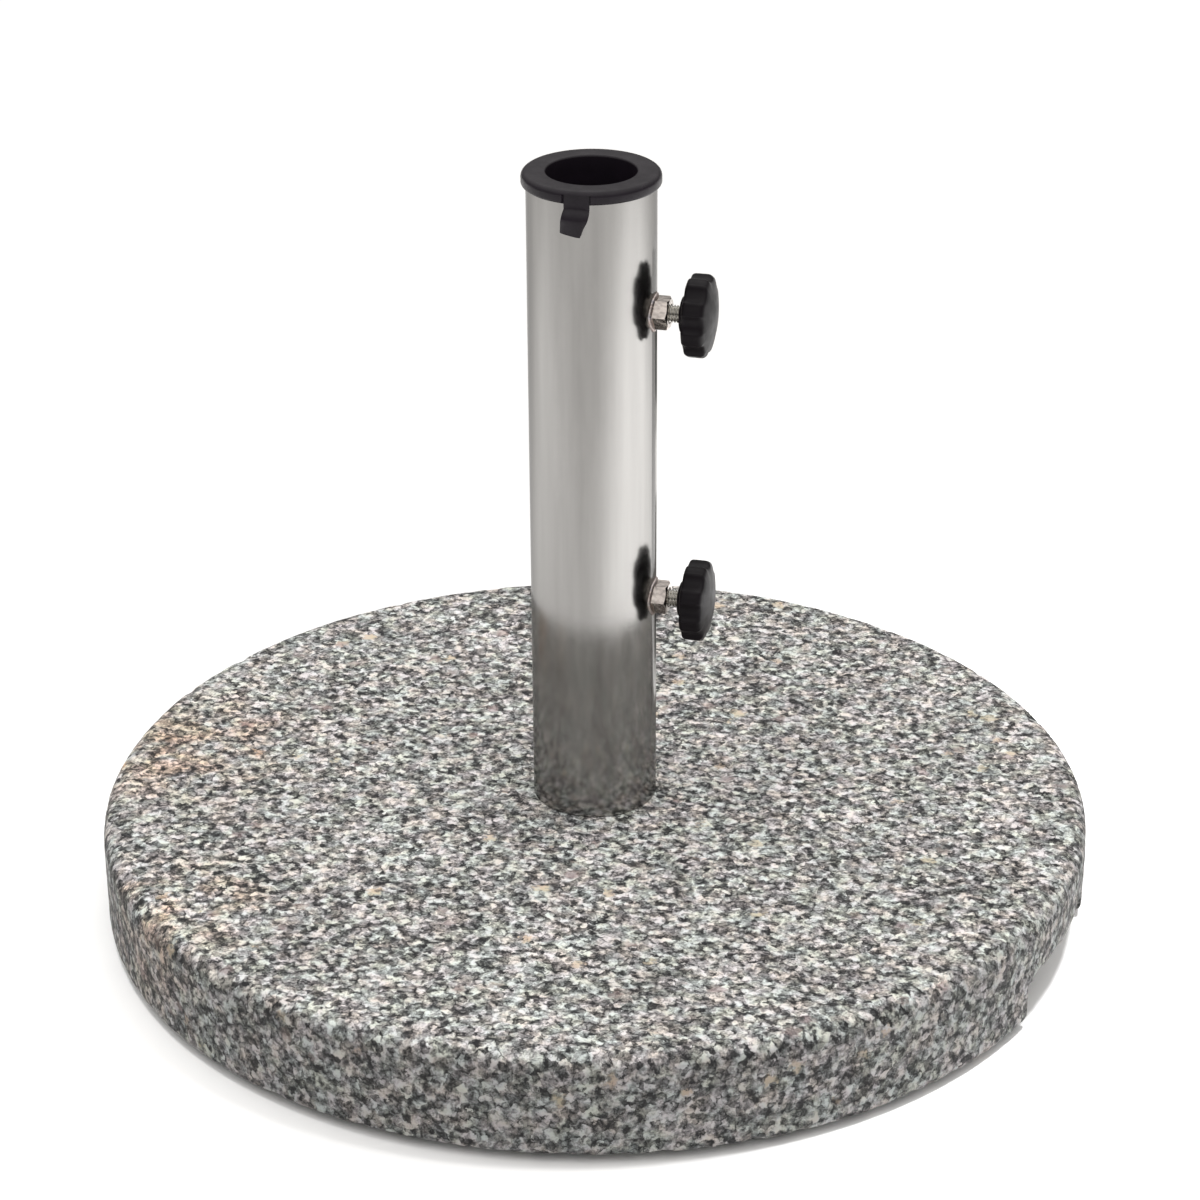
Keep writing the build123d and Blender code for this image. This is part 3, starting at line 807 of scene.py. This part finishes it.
def soft_minimum(a, b, width):
    """The smaller of two values, blended where they differ by less than the width."""
    gap = max(width - abs(a - b), 0.0) / width
    return min(a, b) - gap * gap * width / 4


def star_knob(which):
    """Star knob: hub, hollowed back, scalloped rim with soft edges and a domed face."""
    back, face = reach(which + "_star_knob", which)
    steps, rings = 240, len(KNOB_OUTLINE)
    points = []
    for k in range(steps):
        angle = 2 * pi * k / steps
        for r, z in KNOB_OUTLINE:
            radius = lobed(r * MM, angle) if r > KNOB_HUB else r * MM
            points.append((radius * cos(angle), radius * sin(angle), back + z * MM))
    points += [(0, 0, face - 0.02 * MM), (0, 0, back + 0.3 * MM)]
    faces = grid_faces(steps, rings, True, False)
    for ring, centre in ((rings - 1, steps * rings), (0, steps * rings + 1)):
        faces += [(k * rings + ring, (k + 1) % steps * rings + ring, centre) for k in range(steps)]
    piece = mesh_object(which + "_star_grip", placed(screw_frame(which), points), faces, 60)
    dress(piece, KNOB_PLASTIC)
    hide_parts(which + "_star_knob")
    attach(piece, which + "_screw")


# ---------------------------------------------------------------- build

NUT_STEEL = steel("nut_steel", (0.62, 0.56, 0.52), 0.13, 0.06, 0.0004)
ZINC = steel("zinc_plate", (0.65, 0.63, 0.59), 0.22)
PLAIN_STEEL = steel("plain_steel", (0.45, 0.43, 0.41), 0.42, 0.10)
WELD = weld_metal()
KNOB_PLASTIC = moulded("knob_plastic", (0.0048, 0.0033, 0.0048), 0.40, 0.0007, 0.00005, 0.15)

slab()
tube()
collar()
for side in SIDES:
    nut(side)
    weld_bead(side)
    threaded_stud(side)
    star_knob(side)
    nylon = moulded("nylon", (0.72, 0.70, 0.64), 0.5, 0.0008, 0.00002)
    dress(frame["nodes"][side + "_pressure_tip"], nylon)

RUBBER = moulded("rubber", (0.022, 0.022, 0.022), 0.7, 0.0009, 0.00008)
SEAT_PLASTIC = moulded("seat_plastic", (0.03, 0.03, 0.03), 0.5, 0.0008, 0.00003)
dress(frame["nodes"]["rubber_feet"], RUBBER)
dress(frame["nodes"]["pole_seat"], SEAT_PLASTIC)
dress(frame["nodes"]["foot_plate"], PLAIN_STEEL)
dress(frame["nodes"]["foot_weld"], WELD)
for node in ("foot_nut", "fixing_bolt", "fixing_washer", "spring_washer"):
    dress(frame["nodes"][node], ZINC)


# ---------------------------------------------------------------- floor, light and camera

CAMERA_AZIMUTH = radians(-69)
CAMERA_DISTANCE = 1.3799
CAMERA_HEIGHT = 0.8165
CAMERA_PITCH = 0.4518
CAMERA_YAW = 0.0020
CAMERA_ROLL = -0.0050
CAMERA_LENS = 102.77
FLOOR_RADIUS = 9.0
SKY_HORIZON = 0.12
SKY_ZENITH = 1.52
SKY_SEEN = 1.03
SKY_COLOUR = (1.0, 0.985, 0.965, 1)
POOL_HEIGHT = 2.0
POOL_SOFTNESS = 0.12


def seen_from(azimuth):
    """Unit vectors to the camera's right and straight ahead, level with the ground."""
    ahead = -Vector((cos(azimuth), sin(azimuth), 0))
    return ahead.cross(UP), ahead


def camera():
    """Camera on the photographed side, level with the object's frame but for a small roll."""
    right, ahead = seen_from(CAMERA_AZIMUTH)
    data = bpy.data.cameras.new("camera")
    data.lens = CAMERA_LENS
    data.sensor_width = 36
    made = bpy.data.objects.new("camera", data)
    bpy.context.scene.collection.objects.link(made)
    level = ahead * cos(CAMERA_YAW) + right * sin(CAMERA_YAW)
    forward = level * cos(CAMERA_PITCH) - UP * sin(CAMERA_PITCH)
    across = forward.cross(UP).normalized()
    upward = across.cross(forward)
    rolled_across = across * cos(CAMERA_ROLL) + upward * sin(CAMERA_ROLL)
    rolled_upward = upward * cos(CAMERA_ROLL) - across * sin(CAMERA_ROLL)
    turn = Matrix((rolled_across, rolled_upward, -forward)).transposed().to_4x4()
    place = Matrix.Translation(-ahead * CAMERA_DISTANCE + UP * CAMERA_HEIGHT)
    made.matrix_world = place @ turn
    bpy.context.scene.camera = made


def floor():
    """Wide, round, pale floor."""
    steps = 96
    angles = [2 * pi * k / steps for k in range(steps)]
    points = [(0, 0, 0)] + [(FLOOR_RADIUS * cos(a), FLOOR_RADIUS * sin(a), 0) for a in angles]
    faces = [(0, k + 1, (k + 1) % steps + 1) for k in range(steps)]
    piece = mesh_object("floor", points, faces)
    look = Look("floor", Roughness=0.9)
    shade = look.ramp(look.noise(0.4, 2.0), [(0.3, 0.955), (0.7, 0.965)])
    dress(piece, look.set(Base_Color=shade))


def pool(name, bearing, distance, radius, strength):
    """Soft light straight down on the floor beside the slab, for the tube to mirror. Bearing is
    in degrees from the camera's side, and strength is in the sky's own units."""
    right, ahead = seen_from(CAMERA_AZIMUTH)
    data = bpy.data.lights.new(name, "SPOT")
    data.shadow_soft_size = POOL_SOFTNESS
    data.spot_blend = 1.0
    data.spot_size = 2 * atan2(radius, POOL_HEIGHT)
    data.energy = strength * 4 * pi * pi * POOL_HEIGHT**2
    made = bpy.data.objects.new(name, data)
    bpy.context.scene.collection.objects.link(made)
    toward = right * sin(radians(bearing)) - ahead * cos(radians(bearing))
    made.location = toward * distance + UP * POOL_HEIGHT
    made.visible_camera = False
    lit = bpy.data.collections.new(name + "_lights")
    lit.objects.link(bpy.data.objects["floor"])
    made.light_linking.receiver_collection = lit


def studio():
    """A sky that lights the object mostly from overhead and looks plain white behind it, and
    two soft pools of light."""
    world = bpy.data.worlds.new("studio")
    world.use_nodes = True
    tree = world.node_tree
    place = tree.nodes.new("ShaderNodeTexCoord")
    split = tree.nodes.new("ShaderNodeSeparateXYZ")
    height = tree.nodes.new("ShaderNodeMapRange")
    height.inputs["To Min"].default_value = SKY_HORIZON
    height.inputs["To Max"].default_value = SKY_ZENITH
    height.interpolation_type = "SMOOTHSTEP"
    shade = tree.nodes["Background"]
    shade.inputs["Color"].default_value = SKY_COLOUR
    tree.links.new(place.outputs["Generated"], split.inputs[0])
    tree.links.new(split.outputs["Z"], height.inputs["Value"])
    seen = tree.nodes.new("ShaderNodeLightPath")
    white = tree.nodes.new("ShaderNodeMix")
    white.inputs["B"].default_value = SKY_SEEN
    tree.links.new(seen.outputs["Is Camera Ray"], white.inputs["Factor"])
    tree.links.new(height.outputs["Result"], white.inputs["A"])
    tree.links.new(white.outputs["Result"], shade.inputs["Strength"])
    bpy.context.scene.world = world
    pool("right_pool", 84, 0.56, 0.78, 1.25)
    pool("left_pool", -84, 0.54, 0.60, 0.42)
    bpy.context.scene.view_settings.view_transform = "Standard"


floor()
studio()
camera()
